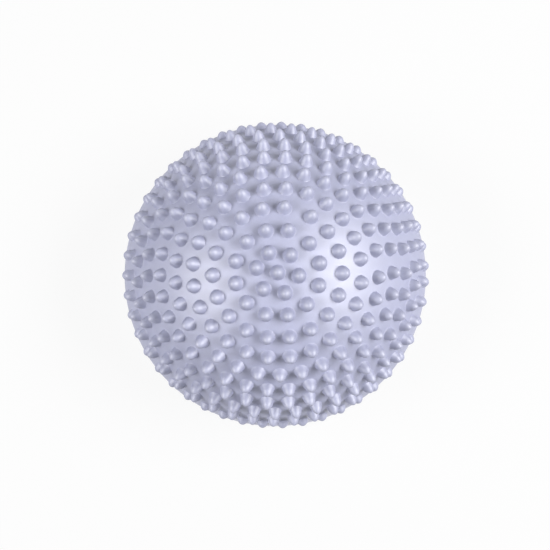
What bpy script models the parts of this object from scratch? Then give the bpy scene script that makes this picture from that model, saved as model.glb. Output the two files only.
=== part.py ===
"""A spiky massage half ball: a hollow soft dome on a flat base, with a stopper in its valve.

Metres, +Z up. The origin is the middle of the flat base, and +Z runs through the dome's pole.
The dome, its spikes and its base are one moulding. A grommet lines the hole in the base, and the
stopper slides out of it along -Z.
"""

import math
from collections import namedtuple

import bmesh
import bpy
from mathutils import Vector

# Dome and base
BODY_RADIUS = 0.080
WALL = 0.0025
EDGE_RADIUS = 0.004
FOOT_WIDTH = 0.018
PANEL_RECESS = 0.001
PANEL_SLOPE = 0.0015

# Spikes, which are lower in the last row, and a little lower in the row before it
SPIKE_HEIGHT = 0.0052
LOWER_SPIKE_HEIGHT = 0.0047
RIM_SPIKE_HEIGHT = 0.003
SPIKE_FOOT_RADIUS = 0.0035
SPIKE_SHOULDER_RADIUS = 0.0022
SPIKE_TIP_LENGTH = 0.0012

# Rows of spikes: the gap is between the feet of neighbours, and the band is the arc under the rows
SPIKE_GAP = 0.003
BARE_BAND = 0.025

# Each row, from the pole down: where its first spike stands, and in gaps how wide it closes
# between its last spike and its first, and how far it lies below its even place
ROW_STARTS_DEG = (0.0, 167.8, 75.8, 83.8, 9.5, 13.1, 12.1, 11.2, 2.9, 3.8, 3.4)
ROW_CLOSINGS = (1.0, 0.7, 1.5, 2.0, 1.3, 1.9, 1.4, 1.6, 0.6, 0.4, 0.4)
ROW_SHIFTS = (0.0, -0.07, -0.05, 0.16, 0.20, 0.13, -0.03, -0.16, -0.42, -0.58, -0.93)

# Valve
CLEARANCE = 0.0003
STEM_RADIUS = 0.0027
STEM_LENGTH = 0.012
STEM_TAPER = 0.0005
STEM_TAPER_LENGTH = 0.0035
STEM_TIP_CHAMFER = 0.0005
HEAD_OVERHANG = 0.0033
HEAD_THICKNESS = 0.0013
HEAD_INSET = 0.0005
HEAD_CHAMFER = 0.0004
SOCKET_WALL = 0.002
FLANGE_OVERHANG = 0.0035
FLANGE_THICKNESS = 0.0012
COLLAR_OVERHANG = 0.002
COLLAR_THICKNESS = 0.0015
WELL_MARGIN = 0.0035
BOSS_HEIGHT = 0.007

# Fineness of the faceted surfaces
SPIKE_SIDES = 6
RIM_SIDES = 64
BAND_STEPS = 3
EDGE_STEPS = 3
CHAMBER_SIDES = 40
CHAMBER_STEPS = 8
VALVE_SIDES = 28
MERGE_DISTANCE = 0.00001
CREASE_ANGLE_DEG = 40.0

# Sizes that follow from the ones above
SPIKE_PITCH = 2 * SPIKE_FOOT_RADIUS + SPIKE_GAP
SOCKET_BORE_RADIUS = STEM_RADIUS + CLEARANCE
SOCKET_RADIUS = SOCKET_BORE_RADIUS + SOCKET_WALL
FLANGE_RADIUS = SOCKET_RADIUS + FLANGE_OVERHANG
WELL_RADIUS = FLANGE_RADIUS + WELL_MARGIN
BOSS_RADIUS = WELL_RADIUS + WALL
FLANGE_BOTTOM = HEAD_INSET + HEAD_THICKNESS + CLEARANCE
FLANGE_TOP = FLANGE_BOTTOM + FLANGE_THICKNESS
WELL_FLOOR = FLANGE_TOP + CLEARANCE
CHAMBER_FLOOR = PANEL_RECESS + WALL
BOSS_TOP = WELL_FLOOR + BOSS_HEIGHT
COLLAR_BOTTOM = BOSS_TOP + CLEARANCE
EDGE_CENTRE = math.sqrt((BODY_RADIUS - EDGE_RADIUS) ** 2 - EDGE_RADIUS**2)
EDGE_START = math.asin(EDGE_RADIUS / (BODY_RADIUS - EDGE_RADIUS))

Row = namedtuple("Row", "polar count start step height")
Spike = namedtuple("Spike", "axis height")
Finish = namedtuple("Finish", "name colour roughness metallic")

PEARL_PVC = Finish("pearl_pvc", (0.49, 0.50, 0.66, 1.0), 0.50, 0.35)
GROMMET = Finish("grommet", (0.68, 0.68, 0.74, 1.0), 0.45, 0.0)
STOPPER = Finish("stopper", (0.80, 0.80, 0.84, 1.0), 0.40, 0.0)


def clear_scene():
    """Remove every object that the file opened with."""
    for item in list(bpy.data.objects):
        bpy.data.objects.remove(item, do_unlink=True)


def new_collection(name):
    """Return a collection of that name, linked to the scene."""
    collection = bpy.data.collections.new(name)
    bpy.context.scene.collection.children.link(collection)
    return collection


def new_material(finish):
    """Return a Principled material of that finish."""
    material = bpy.data.materials.new(finish.name)
    material.use_nodes = True
    shader = material.node_tree.nodes["Principled BSDF"]
    shader.inputs["Base Color"].default_value = finish.colour
    shader.inputs["Roughness"].default_value = finish.roughness
    shader.inputs["Metallic"].default_value = finish.metallic
    return material


def new_object(name, bm, collection):
    """Store the bmesh as an object of that name."""
    mesh = bpy.data.meshes.new(name)
    bm.to_mesh(mesh)
    bm.free()
    item = bpy.data.objects.new(name, mesh)
    collection.objects.link(item)
    return item


def spike_rows():
    """Return the rows of spikes, about one pitch apart from the pole down to the bare band.

    A row holds as many spikes as fit round its even place at the same pitch. What is left of the
    circle is shared out between them, after the gap in which the row closes.
    """
    last = int((math.pi / 2 * BODY_RADIUS - BARE_BAND) / SPIKE_PITCH)
    low_heights = {last - 1: LOWER_SPIKE_HEIGHT, last: RIM_SPIKE_HEIGHT}
    rows = [Row(0.0, 1, 0.0, 0.0, SPIKE_HEIGHT)]
    for number in range(1, last + 1):
        place = number % len(ROW_STARTS_DEG)
        even = number * SPIKE_PITCH / BODY_RADIUS
        count = int(2 * math.pi * BODY_RADIUS * math.sin(even) / SPIKE_PITCH)
        polar = even + ROW_SHIFTS[place] * SPIKE_GAP / BODY_RADIUS
        closing = 2 * SPIKE_FOOT_RADIUS + ROW_CLOSINGS[place] * SPIKE_GAP
        step = (2 * math.pi - closing / (BODY_RADIUS * math.sin(polar))) / (count - 1)
        height = low_heights.get(number, SPIKE_HEIGHT)
        rows.append(Row(polar, count, math.radians(ROW_STARTS_DEG[place]), step, height))
    return rows


def spikes_of(row):
    """Return the spikes of one row, each with the outward direction of its axis."""
    spikes = []
    for number in range(row.count):
        azimuth = row.start + number * row.step
        flat = math.sin(row.polar)
        axis = Vector((flat * math.cos(azimuth), flat * math.sin(azimuth), math.cos(row.polar)))
        spikes.append(Spike(axis, row.height))
    return spikes


def ring_points(radius, height, sides):
    """Return points round a level circle about the Z axis."""
    angles = [2 * math.pi * number / sides for number in range(sides)]
    return [Vector((radius * math.cos(angle), radius * math.sin(angle), height)) for angle in angles]


def foot_points(axis):
    """Return the corners of a spike's foot, which lie on the dome's sphere."""
    across = axis.orthogonal().normalized()
    along = axis.cross(across)
    centre = axis * math.sqrt(BODY_RADIUS**2 - SPIKE_FOOT_RADIUS**2)
    angles = [2 * math.pi * number / SPIKE_SIDES for number in range(SPIKE_SIDES)]
    return [centre + SPIKE_FOOT_RADIUS * (across * math.cos(a) + along * math.sin(a)) for a in angles]


def rim_points(last_polar):
    """Return the points of the bare band under the last row, and of the base's rounded edge."""
    points = []
    band_top = last_polar + SPIKE_FOOT_RADIUS / BODY_RADIUS
    band_angle = math.pi / 2 - EDGE_START - band_top
    for step in range(1, BAND_STEPS):
        polar = band_top + band_angle * step / BAND_STEPS
        points += ring_points(BODY_RADIUS * math.sin(polar), BODY_RADIUS * math.cos(polar), RIM_SIDES)
    for step in range(EDGE_STEPS + 1):
        slope = EDGE_START - (EDGE_START + math.pi / 2) * step / EDGE_STEPS
        radius = EDGE_CENTRE + EDGE_RADIUS * math.cos(slope)
        height = EDGE_RADIUS + EDGE_RADIUS * math.sin(slope)
        points += ring_points(radius, height, RIM_SIDES)
    return points


def raise_spike(bm, foot, spike):
    """Draw one foot face out into a tapered spike with a blunt point."""
    top = bmesh.ops.extrude_discrete_faces(bm, faces=[foot])["faces"][0]
    centre = top.calc_center_median()
    shoulder = spike.axis * (BODY_RADIUS + spike.height - SPIKE_TIP_LENGTH)
    shrink = SPIKE_SHOULDER_RADIUS / SPIKE_FOOT_RADIUS
    for vertex in top.verts:
        vertex.co = shoulder + (vertex.co - centre) * shrink
    tip = bmesh.ops.poke(bm, faces=[top])["verts"][0]
    tip.co = spike.axis * (BODY_RADIUS + spike.height)


def build_skin(collection):
    """Return the dome with its spikes and flat base, still solid inside."""
    rows = spike_rows()
    spikes = [spike for row in rows for spike in spikes_of(row)]
    bm = bmesh.new()
    owner = {}
    for number, spike in enumerate(spikes):
        for point in foot_points(spike.axis):
            owner[bm.verts.new(point)] = number
    for point in rim_points(rows[-1].polar):
        bm.verts.new(point)
    bmesh.ops.convex_hull(bm, input=bm.verts)
    pieces = []
    for face in bm.faces:
        owners = {owner.get(vertex) for vertex in face.verts}
        if len(owners) == 1 and None not in owners:
            pieces.append(face)
    feet = bmesh.ops.dissolve_faces(bm, faces=pieces)["region"]
    base = [face for face in bm.faces if max(v.co.z for v in face.verts) < MERGE_DISTANCE]
    bmesh.ops.dissolve_faces(bm, faces=base)
    for foot in feet:
        raise_spike(bm, foot, spikes[owner[foot.verts[0]]])
    return new_object("dome_shell", bm, collection)


def turned(name, profile, sides, collection):
    """Return a profile of (radius, height) points turned about Z, outer side from top to bottom."""
    bm = bmesh.new()
    vertices = [bm.verts.new((radius, 0.0, height)) for radius, height in profile]
    for first, second in zip(vertices, vertices[1:]):
        bm.edges.new((first, second))
    item = new_object(name, bm, collection)
    screw = item.modifiers.new("turn", "SCREW")
    screw.axis = "Z"
    screw.steps = sides
    screw.render_steps = sides
    screw.use_merge_vertices = True
    screw.merge_threshold = MERGE_DISTANCE
    return item


def hide_cutter(item):
    """Mark an object as a cutter, which is not part of the model."""
    item.display_type = "WIRE"
    item.hide_render = True


def chamber_profile():
    """Return the outline of the air chamber, from the pole round the valve boss to the axis."""
    radius = BODY_RADIUS - WALL
    lowest = math.acos(CHAMBER_FLOOR / radius)
    angles = [lowest * step / CHAMBER_STEPS for step in range(CHAMBER_STEPS + 1)]
    dome = [(radius * math.sin(angle), radius * math.cos(angle)) for angle in angles]
    boss = [(BOSS_RADIUS, CHAMBER_FLOOR), (BOSS_RADIUS, BOSS_TOP), (0.0, BOSS_TOP)]
    return dome + boss


def base_profile():
    """Return the outline that is cut out of the base: the bore, the well and the recessed panel."""
    bore = SOCKET_RADIUS + CLEARANCE
    panel = EDGE_CENTRE - FOOT_WIDTH
    over = BOSS_TOP + WALL
    return [
        (0.0, over),
        (bore, over),
        (bore, WELL_FLOOR),
        (WELL_RADIUS, WELL_FLOOR),
        (WELL_RADIUS, PANEL_RECESS),
        (panel - PANEL_SLOPE, PANEL_RECESS),
        (panel, 0.0),
        (panel, -WALL),
        (0.0, -WALL),
    ]


def socket_profile():
    """Return the grommet's outline, down its outer side and up its bore."""
    collar = SOCKET_RADIUS + COLLAR_OVERHANG
    collar_top = COLLAR_BOTTOM + COLLAR_THICKNESS
    outer = [
        (SOCKET_BORE_RADIUS, collar_top),
        (collar, collar_top),
        (collar, COLLAR_BOTTOM),
        (SOCKET_RADIUS, COLLAR_BOTTOM),
        (SOCKET_RADIUS, FLANGE_TOP),
        (FLANGE_RADIUS, FLANGE_TOP),
        (FLANGE_RADIUS, FLANGE_BOTTOM),
        (SOCKET_BORE_RADIUS, FLANGE_BOTTOM),
    ]
    return outer + outer[:1]


def plug_profile():
    """Return the stopper's outline from its tip to its head, measured up from the head's outer face."""
    head = STEM_RADIUS + HEAD_OVERHANG
    tip = HEAD_THICKNESS + STEM_LENGTH
    return [
        (0.0, tip),
        (STEM_RADIUS - STEM_TAPER - STEM_TIP_CHAMFER, tip),
        (STEM_RADIUS - STEM_TAPER, tip - STEM_TIP_CHAMFER),
        (STEM_RADIUS, tip - STEM_TAPER_LENGTH),
        (STEM_RADIUS, HEAD_THICKNESS),
        (head - HEAD_CHAMFER, HEAD_THICKNESS),
        (head, HEAD_THICKNESS - HEAD_CHAMFER),
        (head, HEAD_CHAMFER),
        (head - HEAD_CHAMFER, 0.0),
        (0.0, 0.0),
    ]


def build_shell(parts, cutters):
    """Return the hollow moulding: the skin less its air chamber and the cuts in its base."""
    shell = build_skin(parts)
    cuts = (("air_chamber_cutter", chamber_profile()), ("base_cutter", base_profile()))
    for name, profile in cuts:
        cutter = turned(name, profile, CHAMBER_SIDES, cutters)
        hide_cutter(cutter)
        cut = shell.modifiers.new(name, "BOOLEAN")
        cut.operation = "DIFFERENCE"
        cut.solver = "EXACT"
        cut.object = cutter
    return shell


def surface(item, finish):
    """Give a piece its material and smooth shading with sharp creases."""
    item.data.materials.append(new_material(finish))
    item.data.shade_smooth()
    item.data.set_sharp_from_angle(angle=math.radians(CREASE_ANGLE_DEG))


def main():
    """Build the model."""
    clear_scene()
    parts = new_collection("massage_half_ball")
    cutters = new_collection("cutters")
    shell = build_shell(parts, cutters)
    socket = turned("valve_socket", socket_profile(), VALVE_SIDES, parts)
    plug = turned("valve_plug", plug_profile(), VALVE_SIDES, parts)
    plug.location = (0.0, 0.0, HEAD_INSET)
    surface(shell, PEARL_PVC)
    surface(socket, GROMMET)
    surface(plug, STOPPER)


main()
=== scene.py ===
"""Dress the spiky massage half ball: its pearly lilac skin, its valve grommet and its stopper.

Metres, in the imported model's own frame: the origin is the middle of the flat base, and +Z runs up
through the dome's pole. The camera looks almost straight down on the dome, as in the photograph.
"""

import logging
import math
from abc import ABC, abstractmethod
from dataclasses import dataclass, field
from enum import Enum
from typing import ClassVar

import bmesh
import bpy
from mathutils import Matrix, Vector


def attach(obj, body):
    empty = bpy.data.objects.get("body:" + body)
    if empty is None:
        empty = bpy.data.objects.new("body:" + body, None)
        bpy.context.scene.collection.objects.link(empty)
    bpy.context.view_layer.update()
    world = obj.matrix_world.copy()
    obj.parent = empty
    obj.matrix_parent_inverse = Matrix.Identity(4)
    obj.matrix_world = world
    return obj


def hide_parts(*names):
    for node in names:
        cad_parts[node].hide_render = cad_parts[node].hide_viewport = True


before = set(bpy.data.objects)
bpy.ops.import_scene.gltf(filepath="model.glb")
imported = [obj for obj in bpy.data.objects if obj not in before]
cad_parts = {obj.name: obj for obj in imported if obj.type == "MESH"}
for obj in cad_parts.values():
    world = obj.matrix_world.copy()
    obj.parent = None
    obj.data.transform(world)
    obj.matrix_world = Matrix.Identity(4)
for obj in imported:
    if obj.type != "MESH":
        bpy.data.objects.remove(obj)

LOG = logging.getLogger("massage_half_ball")
WELD = 1e-6
TURN = 2 * math.pi
ROUND_STEPS = 3

# The look that all the finishes share
RIPPLE_SCALE = 0.06
TINT_CONTRAST = 1.6
# The share of the painted highlight on the outermost parts, such as the spike tips
OUTER_LIGHT_SHARE = 0.6
GLOSS_DRIFT = 0.04
COAT_ROUGHNESS = 0.25
SHEEN_ROUGHNESS = 0.4

# A Mix node's sockets for colours
MIX_LOW, MIX_HIGH, MIX_RESULT = 6, 7, 2

Colour = tuple[float, float, float]


class Body(Enum):
    """The bodies that a piece can ride on."""

    POD = "pod"
    STOPPER = "stopper"


class Slot(Enum):
    """The record's material slots."""

    SKIN = "pearl_pvc"
    GROMMET = "grommet"
    STOPPER = "stopper"


def new_object(name: str, bm: bmesh.types.BMesh, smooth: bool = True) -> bpy.types.Object:
    """Store a bmesh as an object at the origin.

    Args:
        name: the object's name.
        bm: the finished mesh, which is freed.
        smooth: whether its faces are smooth.

    Returns:
        The new object, linked to the scene.
    """
    for face in bm.faces:
        face.smooth = smooth
    mesh = bpy.data.meshes.new(name)
    bm.to_mesh(mesh)
    bm.free()
    item = bpy.data.objects.new(name, mesh)
    bpy.context.scene.collection.objects.link(item)
    return item


@dataclass(frozen=True)
class Corner:
    """A corner of a turned outline: its place, and the radius that rounds it."""

    radius: float
    height: float
    rounding: float = 0.0


def turn_outline(bm: bmesh.types.BMesh, corners: list[Corner], sides: int) -> None:
    """Spin an outline round the Z axis into a bmesh.

    Args:
        bm: the mesh that takes the turned surface.
        corners: the outline's corners in order.
        sides: the number of steps round the axis.
    """
    verts = [bm.verts.new((corner.radius, 0.0, corner.height)) for corner in corners]
    for pair in zip(verts, verts[1:]):
        bm.edges.new(pair)
    kept = set(bm.verts) - set(verts)
    for rounding in sorted({corner.rounding for corner in corners if corner.rounding}):
        sharp = [v for v, corner in zip(verts, corners) if corner.rounding == rounding]
        bmesh.ops.bevel(
            bm,
            geom=sharp,
            offset=rounding,
            segments=ROUND_STEPS,
            profile=0.5,
            affect="VERTICES",
            material=-1,
        )
    outline = [v for v in bm.verts if v not in kept]
    edges = [edge for edge in bm.edges if edge.verts[0] not in kept]
    bmesh.ops.spin(
        bm,
        geom=outline + edges,
        cent=(0, 0, 0),
        axis=(0, 0, 1),
        angle=TURN,
        steps=sides,
        use_merge=True,
    )


def close_seams(bm: bmesh.types.BMesh) -> None:
    """Weld the points that meet, and turn every face outward."""
    bmesh.ops.remove_doubles(bm, verts=bm.verts, dist=WELD)
    bmesh.ops.recalc_face_normals(bm, faces=bm.faces)


class Piece(ABC):
    """A piece that takes a CAD node's place, on that node's body and with its material slot."""

    node: ClassVar[str]
    body: ClassVar[Body]
    slot: ClassVar[Slot]

    @abstractmethod
    def build(self) -> bpy.types.Object:
        """Build the piece and return its object."""

    def dress(self, material: bpy.types.Material) -> bpy.types.Object:
        """Build the piece, give it its material and put it in its CAD node's place.

        Args:
            material: the piece's material.

        Returns:
            The dressed piece.
        """
        item = self.build()
        item.data.materials.append(material)
        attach(item, self.body.value)
        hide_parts(self.node)
        return item


@dataclass(frozen=True)
class SpikeRow:
    """A level row of spikes: its angle from the pole, their number, start and step, and their size.

    Their width is a share of the full one, and their height is a length.
    """

    polar: float
    count: int
    start: float
    step: float
    width: float
    height: float

    def places(self) -> list[Matrix]:
        """Work out where the row's spikes stand.

        Returns:
            The turns that carry an upright spike at the pole to each place in the row.
        """
        lean = Matrix.Rotation(self.polar, 4, "Y")
        azimuths = [self.start + self.step * number for number in range(self.count)]
        return [Matrix.Rotation(azimuth, 4, "Z") @ lean for azimuth in azimuths]


@dataclass(frozen=True)
class SpikeShape:
    """A blunt spike with a flared foot: the radius and height of each level above the dome."""

    levels: tuple[tuple[float, float], ...] = (
        (0.00375, 0.0),
        (0.00345, 0.00030),
        (0.00280, 0.00265),
        (0.00188, 0.00405),
        (0.00096, 0.00488),
    )
    height: float = 0.0052
    sides: int = 12

    def level_height(self, dome_radius: float, radius: float, height: float) -> float:
        """Return a level's distance from the dome's centre along the spike's axis."""
        return math.sqrt(dome_radius**2 - radius**2) + height

    def add_foot(
        self, bm: bmesh.types.BMesh, dome_radius: float, place: Matrix, width: float
    ) -> list[bmesh.types.BMVert]:
        """Add the ring where the spike's foot meets the dome.

        Args:
            bm: the mesh that takes the ring.
            dome_radius: the radius of the dome.
            place: the turn that carries the pole to the spike.
            width: the spike's share of the full width.

        Returns:
            The ring's vertices.
        """
        radius = self.levels[0][0] * width
        level = self.level_height(dome_radius, radius, 0.0)
        matrix = place @ Matrix.Translation((0, 0, level))
        made = bmesh.ops.create_circle(bm, segments=self.sides, radius=radius, matrix=matrix)
        return made["verts"]

    def build(self, dome_radius: float, width: float, height: float) -> bpy.types.Mesh:
        """Draw one upright spike at the pole, open at its foot.

        Args:
            dome_radius: the radius of the dome.
            width: the spike's share of the full width.
            height: the spike's own height, which may be less than the full one.

        Returns:
            The spike's mesh.
        """
        bm = bmesh.new()
        squat = height / self.height
        radius = self.levels[0][0] * width
        level = self.level_height(dome_radius, radius, 0.0)
        foot = Matrix.Translation((0, 0, level))
        bmesh.ops.create_circle(
            bm, cap_ends=True, segments=self.sides, radius=radius, matrix=foot
        )
        cap = next(iter(bm.faces))
        for full_radius, rise in self.levels[1:]:
            cap = bmesh.ops.extrude_discrete_faces(bm, faces=[cap])["faces"][0]
            next_radius = full_radius * width
            next_level = self.level_height(dome_radius, next_radius, rise * squat)
            shrink = next_radius / radius
            bmesh.ops.scale(bm, vec=(shrink, shrink, 1.0), verts=cap.verts)
            bmesh.ops.translate(bm, vec=(0, 0, next_level - level), verts=cap.verts)
            radius, level = next_radius, next_level
        tip = bmesh.ops.poke(bm, faces=[cap])["verts"][0]
        bmesh.ops.translate(bm, vec=(0, 0, dome_radius + height - level), verts=[tip])
        mesh = bpy.data.meshes.new("spike")
        bm.to_mesh(mesh)
        bm.free()
        return mesh


@dataclass(frozen=True)
class DomeSkin(Piece):
    """The one-piece moulding: dome with spikes, flat base, valve well and air chamber.

    The row values run from the pole down. They say where a row's first spike stands, in degrees,
    how many gaps wide the row closes, and how many gaps it lies below its even place.
    """

    node: ClassVar[str] = "dome_shell"
    body: ClassVar[Body] = Body.POD
    slot: ClassVar[Slot] = Slot.SKIN

    radius: float = 0.080
    wall: float = 0.0025
    edge_radius: float = 0.004
    edge_steps: int = 6
    band_steps: int = 6
    rim_sides: int = 128
    chamber_steps: int = 16
    spike_foot: float = 0.0035
    spike_gap: float = 0.003
    bare_band: float = 0.025
    rim_spike_heights: tuple[float, float] = (0.0047, 0.003)
    pole_spike_width: float = 1.03
    rim_spike_width: float = 0.86
    row_starts: tuple[float, ...] = (
        0.0, 167.8, 75.8, 83.8, 9.5, 13.1, 12.1, 11.2, 2.9, 3.8, 3.4
    )
    row_closings: tuple[float, ...] = (
        1.0, 0.7, 1.5, 2.0, 1.3, 1.9, 1.4, 1.6, 0.6, 0.4, 0.4
    )
    row_shifts: tuple[float, ...] = (
        0.0, -0.07, -0.05, 0.16, 0.20, 0.13, -0.03, -0.16, -0.42, -0.58, -0.93
    )
    foot_width: float = 0.018
    panel_recess: float = 0.001
    panel_slope: float = 0.0015
    flat_margin: float = 0.002
    flat_step: float = 0.0065
    flat_steps: int = 6
    well_radius: float = 0.012
    well_floor: float = 0.0036
    bore_radius: float = 0.0053
    boss_top: float = 0.0106
    rounding: float = 0.0004
    spike: SpikeShape = field(default_factory=SpikeShape)

    def rows(self) -> list[SpikeRow]:
        """Lay out the rows of spikes.

        Returns:
            The rows, from the pole down to the bare band.
        """
        pitch = 2 * self.spike_foot + self.spike_gap
        last = int((math.pi / 2 * self.radius - self.bare_band) / pitch)
        rows = [SpikeRow(0.0, 1, 0.0, 0.0, self.pole_spike_width, self.spike.height)]
        for number in range(1, last + 1):
            even = number * pitch / self.radius
            count = int(TURN * self.radius * math.sin(even) / pitch)
            polar = even + self.row_shifts[number] * self.spike_gap / self.radius
            closing = 2 * self.spike_foot + self.row_closings[number] * self.spike_gap
            step = (TURN - closing / (self.radius * math.sin(polar))) / (count - 1)
            start = math.radians(self.row_starts[number])
            narrowing = (self.pole_spike_width - self.rim_spike_width) * (number / last) ** 2
            width = self.pole_spike_width - narrowing
            below = number - last + len(self.rim_spike_heights) - 1
            height = self.rim_spike_heights[below] if below >= 0 else self.spike.height
            rows.append(SpikeRow(polar, count, start, step, width, height))
        return rows

    def edge_centre(self) -> float:
        """Return the radius at which the base's rounded edge is centred."""
        return math.sqrt((self.radius - self.edge_radius) ** 2 - self.edge_radius**2)

    def add_ring(self, bm: bmesh.types.BMesh, radius: float, height: float) -> None:
        """Add a level ring of points for the skin's hull."""
        matrix = Matrix.Translation((0, 0, height))
        bmesh.ops.create_circle(bm, segments=self.rim_sides, radius=radius, matrix=matrix)

    def add_rim(self, bm: bmesh.types.BMesh, last_polar: float) -> None:
        """Add the rings of the bare band and of the rounded edge under it.

        Args:
            bm: the mesh that takes the rings.
            last_polar: the angle of the last row of spikes from the pole.
        """
        edge_start = math.asin(self.edge_radius / (self.radius - self.edge_radius))
        band_top = last_polar + self.spike.levels[0][0] / self.radius
        band = math.pi / 2 - edge_start - band_top
        for step in range(1, self.band_steps):
            polar = band_top + band * step / self.band_steps
            self.add_ring(bm, self.radius * math.sin(polar), self.radius * math.cos(polar))
        for step in range(self.edge_steps + 1):
            slope = edge_start - (edge_start + math.pi / 2) * step / self.edge_steps
            reach = self.edge_centre() + self.edge_radius * math.cos(slope)
            self.add_ring(bm, reach, self.edge_radius * (1 + math.sin(slope)))

    def add_outside(self, bm: bmesh.types.BMesh) -> None:
        """Add the dome between the spikes' feet, down to the base's edge.

        Args:
            bm: the mesh that takes the surface.
        """
        rows = self.rows()
        owner = {}
        feet = [(place, row.width) for row in rows for place in row.places()]
        for number, (place, width) in enumerate(feet):
            for vert in self.spike.add_foot(bm, self.radius, place, width):
                owner[vert] = number
        self.add_rim(bm, rows[-1].polar)
        bmesh.ops.convex_hull(bm, input=bm.verts)
        spare = []
        for face in bm.faces:
            owners = {owner.get(vert) for vert in face.verts}
            in_one_foot = len(owners) == 1 and None not in owners
            if in_one_foot or max(vert.co.z for vert in face.verts) < WELD:
                spare.append(face)
        bmesh.ops.delete(bm, geom=spare, context="FACES")

    def add_spikes(self, bm: bmesh.types.BMesh) -> int:
        """Add every spike.

        Args:
            bm: the mesh that takes the spikes.

        Returns:
            The number of spikes.
        """
        count = 0
        for row in self.rows():
            mesh = self.spike.build(self.radius, row.width, row.height)
            for place in row.places():
                mesh.transform(place)
                bm.from_mesh(mesh)
                mesh.transform(place.inverted())
                count += 1
            bpy.data.meshes.remove(mesh)
        return count

    def underside(self) -> list[Corner]:
        """Draw the outline of the base and of the chamber inside.

        Returns:
            The corners, from the base's edge to the bore, and then up the chamber to its pole.
        """
        panel = self.edge_centre() - self.foot_width
        slope = panel - self.panel_slope
        flats = [
            Corner(slope - self.flat_margin - self.flat_step * step, self.panel_recess)
            for step in range(self.flat_steps)
        ]
        inner = self.radius - self.wall
        floor = self.panel_recess + self.wall
        boss = self.well_radius + self.wall
        lowest = math.acos(floor / inner)
        angles = [lowest * step / self.chamber_steps for step in range(self.chamber_steps, -1, -1)]
        dome = [Corner(inner * math.sin(angle), inner * math.cos(angle)) for angle in angles]
        return [
            Corner(self.edge_centre(), 0.0),
            Corner(self.edge_centre() - self.flat_margin, 0.0),
            Corner(panel + self.flat_margin, 0.0),
            Corner(panel, 0.0, self.rounding),
            Corner(slope, self.panel_recess, self.rounding),
            *flats,
            Corner(self.well_radius + self.flat_margin, self.panel_recess),
            Corner(self.well_radius, self.panel_recess, self.rounding),
            Corner(self.well_radius, self.well_floor, self.rounding),
            Corner(self.bore_radius, self.well_floor, self.rounding / 2),
            Corner(self.bore_radius, self.boss_top, self.rounding / 2),
            Corner(boss, self.boss_top, self.rounding),
            Corner(boss, floor, self.rounding),
            *dome,
        ]

    def build(self) -> bpy.types.Object:
        """Build the skin as one closed mesh.

        Returns:
            The skin's object.
        """
        bm = bmesh.new()
        self.add_outside(bm)
        count = self.add_spikes(bm)
        turn_outline(bm, self.underside(), self.rim_sides)
        close_seams(bm)
        open_edges = sum(1 for edge in bm.edges if not edge.is_manifold)
        LOG.info("dome_skin: %d spikes, %d open edges", count, open_edges)
        item = new_object("dome_skin", bm)
        self.round_shading(item)
        return item

    def round_shading(self, item: bpy.types.Object) -> None:
        """Shade the dome as a true sphere, though the faces between the spikes are flat.

        Args:
            item: the skin's object.
        """
        normals = []
        for vert in item.data.vertices:
            on_dome = vert.co.z > self.edge_radius and abs(vert.co.length - self.radius) < WELD
            normals.append(vert.co.normalized() if on_dome else vert.normal)
        item.data.normals_split_custom_set_from_vertices(normals)


@dataclass(frozen=True)
class Grommet(Piece):
    """The firm ring in the base that the stopper seals."""

    node: ClassVar[str] = "valve_socket"
    body: ClassVar[Body] = Body.POD
    slot: ClassVar[Slot] = Slot.GROMMET

    bore: float = 0.003
    sleeve: float = 0.005
    flange: float = 0.0085
    collar: float = 0.007
    flange_bottom: float = 0.0021
    flange_top: float = 0.0033
    collar_bottom: float = 0.0109
    collar_top: float = 0.0124
    rounding: float = 0.0003
    sides: int = 96

    def build(self) -> bpy.types.Object:
        """Build the grommet as a closed ring.

        Returns:
            The grommet's object.
        """
        soft = self.rounding
        corners = [
            Corner(self.bore, self.collar_top, soft),
            Corner(self.collar, self.collar_top, soft),
            Corner(self.collar, self.collar_bottom, soft),
            Corner(self.sleeve, self.collar_bottom, soft / 2),
            Corner(self.sleeve, self.flange_top, soft / 2),
            Corner(self.flange, self.flange_top, soft),
            Corner(self.flange, self.flange_bottom, soft),
            Corner(self.bore, self.flange_bottom, soft),
        ]
        bm = bmesh.new()
        middle = (self.flange_bottom + self.collar_top) / 2
        seam = Corner(self.bore, middle)
        turn_outline(bm, [seam, *corners, seam], self.sides)
        close_seams(bm)
        return new_object("valve_grommet", bm)


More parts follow.
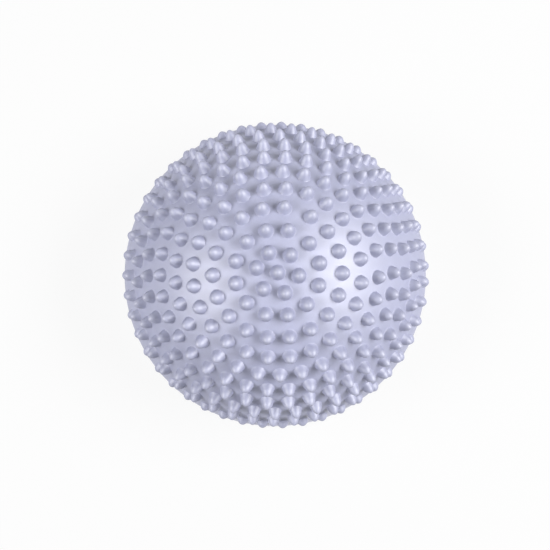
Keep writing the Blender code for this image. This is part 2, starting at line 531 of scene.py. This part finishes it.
@dataclass(frozen=True)
class Stopper(Piece):
    """The soft plug with a flat head that is pushed into the grommet."""

    node: ClassVar[str] = "valve_plug"
    body: ClassVar[Body] = Body.STOPPER
    slot: ClassVar[Slot] = Slot.STOPPER

    head_bottom: float = 0.0005
    head_top: float = 0.0018
    head_radius: float = 0.006
    stem_radius: float = 0.0027
    stem_top: float = 0.0138
    rib_rise: float = 0.00015
    rib_width: float = 0.0012
    rib_pitch: float = 0.003
    tip_radius: float = 0.0017
    taper_length: float = 0.0035
    dimple_radius: float = 0.0022
    dimple_depth: float = 0.0004
    rounding: float = 0.0003
    sides: int = 96

    def ribs(self) -> list[Corner]:
        """Draw the two sealing ribs on the stem.

        Returns:
            The ribs' corners, from the top of the upper rib down.
        """
        ribs = []
        for number in (2, 1):
            middle = self.head_top + self.rib_pitch * number
            ribs += [
                Corner(self.stem_radius, middle + self.rib_width / 2),
                Corner(self.stem_radius + self.rib_rise, middle + self.rib_width / 6),
                Corner(self.stem_radius + self.rib_rise, middle - self.rib_width / 6),
                Corner(self.stem_radius, middle - self.rib_width / 2),
            ]
        return ribs

    def build(self) -> bpy.types.Object:
        """Build the stopper, from its tip to the dimple in its head.

        Returns:
            The stopper's object.
        """
        soft = self.rounding
        corners = [
            Corner(0.0, self.stem_top),
            Corner(self.tip_radius, self.stem_top, soft),
            Corner(self.stem_radius, self.stem_top - self.taper_length, soft),
            *self.ribs(),
            Corner(self.stem_radius, self.head_top, soft),
            Corner(self.head_radius, self.head_top, soft),
            Corner(self.head_radius, self.head_bottom, soft),
            Corner(self.dimple_radius + self.dimple_depth, self.head_bottom, soft / 2),
            Corner(self.dimple_radius, self.head_bottom + self.dimple_depth, soft / 2),
            Corner(0.0, self.head_bottom + self.dimple_depth),
        ]
        bm = bmesh.new()
        turn_outline(bm, corners, self.sides)
        close_seams(bm)
        return new_object("valve_stopper", bm)


class ShaderGroup:
    """A shader node group with named sockets, built once and placed in several materials."""

    def __init__(self, name: str, inputs: dict[str, float], outputs: tuple[str, ...]) -> None:
        """Make the group.

        Args:
            name: the group's name.
            inputs: the names and first values of its number inputs. It also takes a Vector.
            outputs: the names of its number outputs.
        """
        self.tree = bpy.data.node_groups.new(name, "ShaderNodeTree")
        self.tree.interface.new_socket("Vector", in_out="INPUT", socket_type="NodeSocketVector")
        for socket, value in inputs.items():
            made = self.tree.interface.new_socket(
                socket, in_out="INPUT", socket_type="NodeSocketFloat"
            )
            made.default_value = value
        for socket in outputs:
            self.tree.interface.new_socket(socket, in_out="OUTPUT", socket_type="NodeSocketFloat")
        self.entry = self.tree.nodes.new("NodeGroupInput")
        self.exit = self.tree.nodes.new("NodeGroupOutput")

    def add(self, kind: str, **settings: object) -> bpy.types.Node:
        """Add a node with those settings."""
        return add_node(self.tree, kind, **settings)

    def link(self, source: bpy.types.NodeSocket, target: bpy.types.NodeSocket) -> None:
        """Join two sockets."""
        self.tree.links.new(source, target)

    def scale(self) -> bpy.types.NodeSocket:
        """Turn the Size input into a texture's scale.

        Returns:
            The socket that gives the scale, in cells to the metre.
        """
        scale = self.add("Math", operation="DIVIDE")
        scale.inputs[0].default_value = 1.0
        self.link(self.entry.outputs["Size"], scale.inputs[1])
        return scale.outputs[0]

    def texture(self, kind: str, scale: bpy.types.NodeSocket) -> bpy.types.Node:
        """Add a texture, laid out over the Vector input.

        Args:
            kind: the texture's type name, without its ShaderNode prefix.
            scale: the socket that gives its scale.

        Returns:
            The texture's node.
        """
        node = self.add(kind)
        self.link(self.entry.outputs["Vector"], node.inputs["Vector"])
        self.link(scale, node.inputs["Scale"])
        return node


def add_node(tree: bpy.types.NodeTree, kind: str, **settings: object) -> bpy.types.Node:
    """Add a node and set its properties.

    Args:
        tree: the tree that takes the node.
        kind: the node's type name, without its ShaderNode prefix.
        settings: the properties to set on it.

    Returns:
        The new node.
    """
    node = tree.nodes.new("ShaderNode" + kind)
    for name, value in settings.items():
        setattr(node, name, value)
    return node


def mould_grain() -> ShaderGroup:
    """Build the fine orange peel of moulded plastic, with a slow ripple under it.

    Returns:
        The group, whose output is a height.
    """
    group = ShaderGroup("mould_grain", {"Size": 0.0008, "Ripple": 0.5}, ("Height",))
    scale = group.scale()
    fine = group.texture("TexNoise", scale)
    fine.inputs["Detail"].default_value = 2.0
    slow_scale = group.add("Math", operation="MULTIPLY")
    slow_scale.inputs[1].default_value = RIPPLE_SCALE
    group.link(scale, slow_scale.inputs[0])
    slow = group.texture("TexNoise", slow_scale.outputs[0])
    slow.inputs["Detail"].default_value = 1.0
    mixed = group.add("Math", operation="MULTIPLY_ADD")
    group.link(slow.outputs["Fac"], mixed.inputs[0])
    group.link(group.entry.outputs["Ripple"], mixed.inputs[1])
    group.link(fine.outputs["Fac"], mixed.inputs[2])
    group.link(mixed.outputs[0], group.exit.inputs["Height"])
    return group


def cloudy_tint() -> ShaderGroup:
    """Build the slow drift of a moulded colour.

    Returns:
        The group, whose output runs from 0 to 1 round a half.
    """
    group = ShaderGroup("cloudy_tint", {"Size": 0.02, "Contrast": 0.5}, ("Drift",))
    cloud = group.texture("TexNoise", group.scale())
    cloud.inputs["Detail"].default_value = 3.0
    centred = group.add("Math", operation="SUBTRACT")
    centred.inputs[1].default_value = 0.5
    group.link(cloud.outputs["Fac"], centred.inputs[0])
    spread = group.add("Math", operation="MULTIPLY_ADD", use_clamp=True)
    spread.inputs[2].default_value = 0.5
    group.link(centred.outputs[0], spread.inputs[0])
    group.link(group.entry.outputs["Contrast"], spread.inputs[1])
    group.link(spread.outputs[0], group.exit.inputs["Drift"])
    return group


def mica_flake() -> ShaderGroup:
    """Build the random tilt of pearl flakes.

    Returns:
        The group, whose output is a number from 0 to 1 for each flake.
    """
    group = ShaderGroup("mica_flake", {"Size": 0.0003}, ("Flake",))
    cells = group.texture("TexVoronoi", group.scale())
    split = group.add("SeparateColor")
    group.link(cells.outputs["Color"], split.inputs["Color"])
    group.link(split.outputs[0], group.exit.inputs["Flake"])
    return group


@dataclass(frozen=True)
class Effects:
    """The shader groups that the materials share."""

    grain: ShaderGroup
    tint: ShaderGroup
    flake: ShaderGroup


@dataclass(frozen=True)
class Finish:
    """A moulded plastic: its colours, with a painted highlight on its outermost parts, its gloss
    and grain.
    """

    name: str
    colour: Colour
    deep_colour: Colour
    outer_lit_colour: Colour
    roughness: float
    index: float
    coat: float
    sheen: float
    grain_size: float
    grain_depth: float
    flake_size: float
    flake_contrast: float
    outer_light_start: float
    outer_light_end: float

    def material(self, effects: Effects) -> bpy.types.Material:
        """Build the material.

        Args:
            effects: the shader groups that it uses.

        Returns:
            The material.
        """
        material = bpy.data.materials.new(self.name)
        material.use_nodes = True
        tree = material.node_tree
        shader = tree.nodes["Principled BSDF"]
        place = add_node(tree, "TexCoord").outputs["Object"]
        flake = self.placed(tree, effects.flake, place, Size=self.flake_size).outputs["Flake"]
        tint = self.placed(tree, effects.tint, place, Contrast=TINT_CONTRAST)
        drift = tint.outputs["Drift"]
        grain = self.placed(tree, effects.grain, place, Size=self.grain_size).outputs["Height"]
        colour = self.mix(tree, drift, self.deep_colour, self.colour)
        # Painted highlight: the outermost parts, such as the spike tips, are lighter
        colour = self.mix(tree, self.outer_light(tree, place, drift), colour, self.outer_lit_colour)
        colour = self.brighten(tree, colour, flake)
        tree.links.new(colour, shader.inputs["Base Color"])
        tree.links.new(self.gloss(tree, flake), shader.inputs["Roughness"])
        bump = add_node(tree, "Bump")
        bump.inputs["Strength"].default_value = 1.0
        bump.inputs["Distance"].default_value = self.grain_depth
        tree.links.new(grain, bump.inputs["Height"])
        tree.links.new(bump.outputs["Normal"], shader.inputs["Normal"])
        shader.inputs["IOR"].default_value = self.index
        shader.inputs["Coat Weight"].default_value = self.coat
        shader.inputs["Coat Roughness"].default_value = COAT_ROUGHNESS
        shader.inputs["Sheen Weight"].default_value = self.sheen
        shader.inputs["Sheen Roughness"].default_value = SHEEN_ROUGHNESS
        return material

    def placed(
        self,
        tree: bpy.types.NodeTree,
        group: ShaderGroup,
        place: bpy.types.NodeSocket,
        **values: float,
    ) -> bpy.types.Node:
        """Place a shared group in the tree with its own values.

        Args:
            tree: the tree that takes the group.
            group: the shared group.
            place: the socket that gives the point on the piece.
            values: the group's own values, by the names of its inputs.

        Returns:
            The group's node.
        """
        node = add_node(tree, "Group", node_tree=group.tree)
        tree.links.new(place, node.inputs["Vector"])
        for name, value in values.items():
            node.inputs[name].default_value = value
        return node

    def mix(
        self,
        tree: bpy.types.NodeTree,
        factor: bpy.types.NodeSocket,
        low: Colour | bpy.types.NodeSocket,
        high: Colour,
    ) -> bpy.types.NodeSocket:
        """Mix two colours, of which the first may be a socket.

        Args:
            tree: the tree that takes the node.
            factor: the share of the second colour.
            low: the first colour, or the socket that gives it.
            high: the second colour.

        Returns:
            The mixed colour's socket.
        """
        node = add_node(tree, "Mix", data_type="RGBA")
        tree.links.new(factor, node.inputs["Factor"])
        if isinstance(low, tuple):
            node.inputs[MIX_LOW].default_value = (*low, 1.0)
        else:
            tree.links.new(low, node.inputs[MIX_LOW])
        node.inputs[MIX_HIGH].default_value = (*high, 1.0)
        return node.outputs[MIX_RESULT]

    def outer_light(
        self, tree: bpy.types.NodeTree, place: bpy.types.NodeSocket, drift: bpy.types.NodeSocket
    ) -> bpy.types.NodeSocket:
        """Mask the painted highlight on the ends furthest from the middle, such as the spike tips.

        Args:
            tree: the tree that takes the nodes.
            place: the socket that gives the point on the piece.
            drift: the socket that makes the painted highlight patchy.

        Returns:
            The mask's socket.
        """
        reach = add_node(tree, "VectorMath", operation="LENGTH")
        tree.links.new(place, reach.inputs[0])
        ends = add_node(tree, "MapRange", interpolation_type="SMOOTHSTEP")
        ends.inputs["From Min"].default_value = self.outer_light_start
        ends.inputs["From Max"].default_value = self.outer_light_end
        ends.inputs["To Max"].default_value = OUTER_LIGHT_SHARE
        tree.links.new(reach.outputs["Value"], ends.inputs["Value"])
        patchy = add_node(tree, "Math", operation="MULTIPLY")
        tree.links.new(ends.outputs["Result"], patchy.inputs[0])
        tree.links.new(drift, patchy.inputs[1])
        return patchy.outputs[0]

    def brighten(
        self, tree: bpy.types.NodeTree, colour: bpy.types.NodeSocket, flake: bpy.types.NodeSocket
    ) -> bpy.types.NodeSocket:
        """Scale a colour up or down a little with the flake that lies there.

        Args:
            tree: the tree that takes the nodes.
            colour: the colour's socket.
            flake: the flake's socket, from 0 to 1.

        Returns:
            The scaled colour's socket.
        """
        level = add_node(tree, "MapRange")
        level.inputs["To Min"].default_value = 1.0 - self.flake_contrast
        level.inputs["To Max"].default_value = 1.0 + self.flake_contrast
        tree.links.new(flake, level.inputs["Value"])
        scaled = add_node(tree, "VectorMath", operation="SCALE")
        tree.links.new(colour, scaled.inputs[0])
        tree.links.new(level.outputs["Result"], scaled.inputs["Scale"])
        return scaled.outputs["Vector"]

    def gloss(self, tree: bpy.types.NodeTree, flake: bpy.types.NodeSocket) -> bpy.types.NodeSocket:
        """Let the roughness drift a little from flake to flake.

        Args:
            tree: the tree that takes the node.
            flake: the flake's socket, from 0 to 1.

        Returns:
            The roughness's socket.
        """
        level = add_node(tree, "MapRange")
        level.inputs["To Min"].default_value = self.roughness - GLOSS_DRIFT
        level.inputs["To Max"].default_value = self.roughness + GLOSS_DRIFT
        tree.links.new(flake, level.inputs["Value"])
        return level.outputs["Result"]


PEARL_SKIN = Finish(
    name="pearl_lilac_vinyl",
    colour=(0.31, 0.32, 0.445),
    deep_colour=(0.29, 0.30, 0.425),
    # The outermost colour is a painted highlight on the spike tips
    outer_lit_colour=(0.36, 0.37, 0.485),
    roughness=0.56,
    index=2.2,
    coat=0.0,
    sheen=0.0,
    grain_size=0.0009,
    grain_depth=0.00001,
    flake_size=0.0003,
    flake_contrast=0.04,
    outer_light_start=0.0825,
    outer_light_end=0.0845,
)
GROMMET_RUBBER = Finish(
    name="pale_grey_rubber",
    colour=(0.66, 0.66, 0.71),
    deep_colour=(0.60, 0.60, 0.66),
    outer_lit_colour=(0.72, 0.72, 0.76),
    roughness=0.5,
    index=1.5,
    coat=0.0,
    sheen=0.1,
    grain_size=0.0004,
    grain_depth=0.00001,
    flake_size=0.0003,
    flake_contrast=0.01,
    outer_light_start=0.0085,
    outer_light_end=0.012,
)
STOPPER_PLASTIC = Finish(
    name="white_satin_plastic",
    colour=(0.80, 0.80, 0.84),
    deep_colour=(0.76, 0.76, 0.81),
    outer_lit_colour=(0.86, 0.86, 0.88),
    roughness=0.4,
    index=1.5,
    coat=0.1,
    sheen=0.0,
    grain_size=0.0005,
    grain_depth=0.00001,
    flake_size=0.0003,
    flake_contrast=0.01,
    outer_light_start=0.0055,
    outer_light_end=0.007,
)


@dataclass(frozen=True)
class Softbox:
    """A rectangular lamp: where it stands, what it points at, its size and its strength."""

    name: str
    place: tuple[float, float, float]
    aim: tuple[float, float, float]
    width: float
    height: float
    watts: float

    def build(self) -> None:
        """Hang the lamp and point it."""
        data = bpy.data.lights.new(self.name, "AREA")
        data.shape = "RECTANGLE"
        data.size = self.width
        data.size_y = self.height
        data.energy = self.watts
        item = bpy.data.objects.new(self.name, data)
        item.location = self.place
        toward = Vector(self.aim) - Vector(self.place)
        item.rotation_euler = toward.to_track_quat("-Z", "Y").to_euler()
        item.visible_camera = False
        bpy.context.scene.collection.objects.link(item)


@dataclass(frozen=True)
class Studio:
    """The pale floor, the lamps, the surrounding light and the camera."""

    floor_size: float = 30.0
    floor_drop: float = 0.0002
    floor_colour: tuple[float, float, float, float] = (0.6, 0.6, 0.6, 1.0)
    floor_white: float = 0.9
    shadow_reach: float = 0.15
    white_reach: float = 0.6
    surround: float = 0.02
    lamps: tuple[Softbox, ...] = (
        Softbox("left_softbox", (-0.92, -0.14, 0.80), (0.0, 0.0, 0.04), 0.80, 0.35, 12.8),
        Softbox("right_softbox", (0.88, 0.06, 0.84), (0.0, 0.0, 0.04), 1.00, 0.35, 19.5),
        Softbox("back_softbox", (-0.20, 1.15, 0.25), (0.0, 0.0, 0.04), 0.80, 0.30, 2.0),
        Softbox("base_softbox", (0.15, -0.35, -0.80), (0.0, 0.0, 0.0), 0.6, 0.6, 5.0),
    )
    camera_place: tuple[float, float, float] = (-0.0069, -0.0084, 0.500)
    camera_aim: tuple[float, float, float] = (-0.00013, 0.00028, 0.0)
    lens: float = 60.85
    sensor: float = 36.0

    def floor(self) -> None:
        """Lay the floor, which shows only its upper side."""
        bm = bmesh.new()
        level = Matrix.Translation((0, 0, -self.floor_drop))
        bmesh.ops.create_grid(bm, x_segments=1, y_segments=1, size=self.floor_size, matrix=level)
        item = new_object("floor", bm, smooth=False)
        item.data.materials.append(self.floor_paint())

    def seen(self, tree: bpy.types.NodeTree) -> bpy.types.NodeSocket:
        """Mask the rays that show the background: camera, glossy and transmission.

        Args:
            tree: the tree that takes the nodes.

        Returns:
            The mask's socket.
        """
        rays = add_node(tree, "LightPath")
        sight = add_node(tree, "Math", operation="MAXIMUM")
        tree.links.new(rays.outputs["Is Camera Ray"], sight.inputs[0])
        tree.links.new(rays.outputs["Is Glossy Ray"], sight.inputs[1])
        either = add_node(tree, "Math", operation="MAXIMUM")
        tree.links.new(sight.outputs[0], either.inputs[0])
        tree.links.new(rays.outputs["Is Transmission Ray"], either.inputs[1])
        return either.outputs[0]

    def white_share(self, tree: bpy.types.NodeTree) -> bpy.types.NodeSocket:
        """Work out how white the floor is seen: nearly so round the object, and wholly far off.

        Args:
            tree: the tree that takes the nodes.

        Returns:
            The socket that gives the share of white.
        """
        reach = add_node(tree, "VectorMath", operation="LENGTH")
        tree.links.new(add_node(tree, "TexCoord").outputs["Object"], reach.inputs[0])
        fade = add_node(tree, "MapRange", interpolation_type="SMOOTHSTEP")
        fade.inputs["From Min"].default_value = self.shadow_reach
        fade.inputs["From Max"].default_value = self.white_reach
        fade.inputs["To Min"].default_value = self.floor_white
        tree.links.new(reach.outputs["Value"], fade.inputs["Value"])
        share = add_node(tree, "Math", operation="MULTIPLY")
        tree.links.new(self.seen(tree), share.inputs[0])
        tree.links.new(fade.outputs["Result"], share.inputs[1])
        return share.outputs[0]

    def see_through(self, tree: bpy.types.NodeTree) -> bpy.types.NodeSocket:
        """Mask where the floor is clear: from below, and for the lamps' light.

        Args:
            tree: the tree that takes the nodes.

        Returns:
            The mask's socket.
        """
        either = add_node(tree, "Math", operation="MAXIMUM")
        side = add_node(tree, "NewGeometry").outputs["Backfacing"]
        tree.links.new(side, either.inputs[0])
        shadow = add_node(tree, "LightPath").outputs["Is Shadow Ray"]
        tree.links.new(shadow, either.inputs[1])
        return either.outputs[0]

    def floor_paint(self) -> bpy.types.Material:
        """Build the floor's paint: white where it is seen, but for a soft shadow.

        Returns:
            The material.
        """
        material = bpy.data.materials.new("floor_paint")
        material.use_nodes = True
        tree = material.node_tree
        tree.nodes.clear()
        paint = add_node(tree, "BsdfDiffuse")
        paint.inputs["Color"].default_value = self.floor_colour
        white = add_node(tree, "Emission")
        lit = add_node(tree, "MixShader")
        tree.links.new(self.white_share(tree), lit.inputs[0])
        tree.links.new(paint.outputs[0], lit.inputs[1])
        tree.links.new(white.outputs[0], lit.inputs[2])
        clear = add_node(tree, "BsdfTransparent")
        mixed = add_node(tree, "MixShader")
        tree.links.new(self.see_through(tree), mixed.inputs[0])
        tree.links.new(lit.outputs[0], mixed.inputs[1])
        tree.links.new(clear.outputs[0], mixed.inputs[2])
        out = add_node(tree, "OutputMaterial")
        tree.links.new(mixed.outputs[0], out.inputs["Surface"])
        return material

    def world(self) -> None:
        """Set the soft light all round, and the white that is seen behind the object."""
        world = bpy.data.worlds.new("studio")
        world.use_nodes = True
        tree = world.node_tree
        glow = tree.nodes["Background"]
        glow.inputs["Color"].default_value = (1.0, 1.0, 1.0, 1.0)
        level = add_node(tree, "MapRange")
        level.inputs["To Min"].default_value = self.surround
        level.inputs["To Max"].default_value = 1.0
        tree.links.new(self.seen(tree), level.inputs["Value"])
        tree.links.new(level.outputs["Result"], glow.inputs["Strength"])
        bpy.context.scene.world = world

    def camera(self) -> None:
        """Put the camera where the photograph was taken from."""
        data = bpy.data.cameras.new("camera")
        data.lens = self.lens
        data.sensor_width = self.sensor
        item = bpy.data.objects.new("camera", data)
        item.location = self.camera_place
        back = (Vector(self.camera_place) - Vector(self.camera_aim)).normalized()
        right = Vector((0.0, 1.0, 0.0)).cross(back).normalized()
        turn = Matrix((right, back.cross(right), back)).transposed()
        item.rotation_euler = turn.to_euler()
        bpy.context.scene.collection.objects.link(item)
        bpy.context.scene.camera = item

    def build(self) -> None:
        """Set up the studio."""
        self.camera()
        self.floor()
        self.world()
        for lamp in self.lamps:
            lamp.build()
        bpy.context.scene.view_settings.view_transform = "Standard"
        LOG.info("studio: %d lamps", len(self.lamps))


def main() -> None:
    """Build the studio and the three pieces."""
    logging.basicConfig(level=logging.INFO, format="%(message)s")
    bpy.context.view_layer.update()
    Studio().build()
    effects = Effects(mould_grain(), cloudy_tint(), mica_flake())
    finishes = ((DomeSkin(), PEARL_SKIN), (Grommet(), GROMMET_RUBBER), (Stopper(), STOPPER_PLASTIC))
    for piece, finish in finishes:
        item = piece.dress(finish.material(effects))
        LOG.info("%s: %d faces on the %s", item.name, len(item.data.polygons), piece.body.value)


if __name__ == "__main__":
    main()
